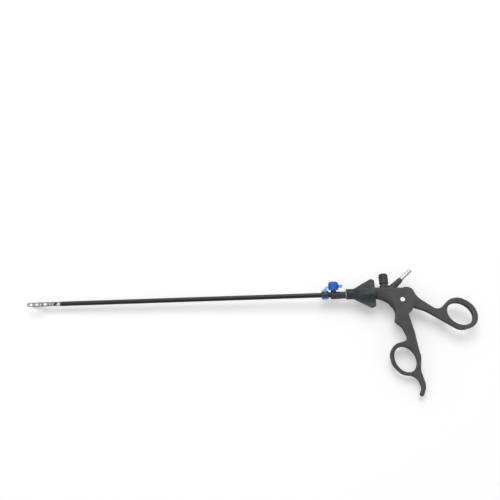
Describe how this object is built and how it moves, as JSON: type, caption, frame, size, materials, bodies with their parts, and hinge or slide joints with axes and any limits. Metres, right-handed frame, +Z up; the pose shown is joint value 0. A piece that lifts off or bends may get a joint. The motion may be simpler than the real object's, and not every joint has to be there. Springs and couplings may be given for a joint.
{
  "type": "laparoscopic grasping forceps",
  "caption": "Long slim grasping forceps for keyhole surgery: ring handles, a rotating collar and an insulated tube move a pair of small jaws.",
  "frame": {"origin": "front end of the insulated tube, on the tube's axis", "axes": "+X along the tube towards the handle, +Y towards the electrode pin, +Z up from the flat handle"},
  "size_m": [0.4711, 0.1325, 0.0304],
  "materials": {
    "handle_plastic": "matt, fine moulded grain",
    "collar_plastic": "matt moulded",
    "button_plastic": "satin moulded",
    "boot_plastic": "satin moulded",
    "tube_insulation": "satin shrink sleeve",
    "hub_plastic": "satin moulded",
    "white_plastic": "matt",
    "cap_blue": "soft satin",
    "tether_blue": "translucent soft",
    "seal_rubber": "soft",
    "jaw_steel": "satin",
    "steel": "satin",
    "bright_steel": "polished"
  },
  "bodies": {
    "handle": {"front_handle": "handle_plastic", "neck_bushing": "white_plastic", "pivot_screw": "bright_steel", "pivot_nut": "steel", "electrode_pin": "bright_steel", "electrode_boot": "boot_plastic"},
    "thumb_lever": {"thumb_handle": "handle_plastic", "lever_bushing": "white_plastic"},
    "shaft": {"tube_insulation": "tube_insulation", "outer_tube": "steel", "rotation_collar": "collar_plastic", "spindle": "steel", "slip_washer": "hub_plastic", "port_hub": "hub_plastic", "hub_washer": "white_plastic", "luer_port": "steel", "tether_ring": "tether_blue", "tether_strap": "tether_blue", "rod_seal": "seal_rubber", "jaw_yoke": "jaw_steel", "jaw_pin": "jaw_steel"},
    "drive_rod": {"drive_rod": "steel", "rod_head": "jaw_steel", "drive_pin": "jaw_steel"},
    "upper_jaw": {"upper_jaw": "jaw_steel"},
    "lower_jaw": {"lower_jaw": "jaw_steel"},
    "release_button": {"button_cap": "button_plastic", "button_stem": "steel", "latch_plate": "steel", "button_spring": "steel"},
    "port_cap": {"port_cap": "cap_blue"}
  },
  "joints": [
    {"name": "thumb_hinge", "type": "hinge", "parent": "handle", "child": "thumb_lever", "pos_m": [0.3624, -0.0099, 0], "axis": [0, 0, -1], "range_deg": [-4.1, 15.5]},
    {"name": "collar_spin", "type": "hinge", "parent": "handle", "child": "shaft", "pos_m": [0.306, 0, 0], "axis": [1, 0, 0], "continuous": true},
    {"name": "rod_slide", "type": "slide", "parent": "shaft", "child": "drive_rod", "axis": [1, 0, 0], "range_m": [-0.00073, 0.00272]},
    {"name": "upper_jaw_hinge", "type": "hinge", "parent": "shaft", "child": "upper_jaw", "pos_m": [-0.0108, 0, 0], "axis": [0, 0.9397, 0.342], "range_deg": [-14.05, 3.75]},
    {"name": "lower_jaw_hinge", "type": "hinge", "parent": "shaft", "child": "lower_jaw", "pos_m": [-0.0108, 0, 0], "axis": [0, 0.9397, 0.342], "range_deg": [-3.75, 14.05]},
    {"name": "button_slide", "type": "slide", "parent": "handle", "child": "release_button", "axis": [0, -1, 0], "range_m": [0, 0.002], "stiffness_N_per_m": 900, "springref_m": -0.0015, "deforming": ["button_spring"]},
    {"name": "cap_pull", "type": "slide", "parent": "shaft", "child": "port_cap", "axis": [0, 0.9397, 0.342], "range_m": [0, 0.008], "deforming": ["tether_strap"]}
  ],
  "couplings": [
    {"joint": "rod_slide", "follows": "thumb_hinge", "m_per_rad": 0.009999},
    {"joint": "upper_jaw_hinge", "follows": "thumb_hinge", "ratio": -0.90323},
    {"joint": "lower_jaw_hinge", "follows": "thumb_hinge", "ratio": 0.90323}
  ]
}
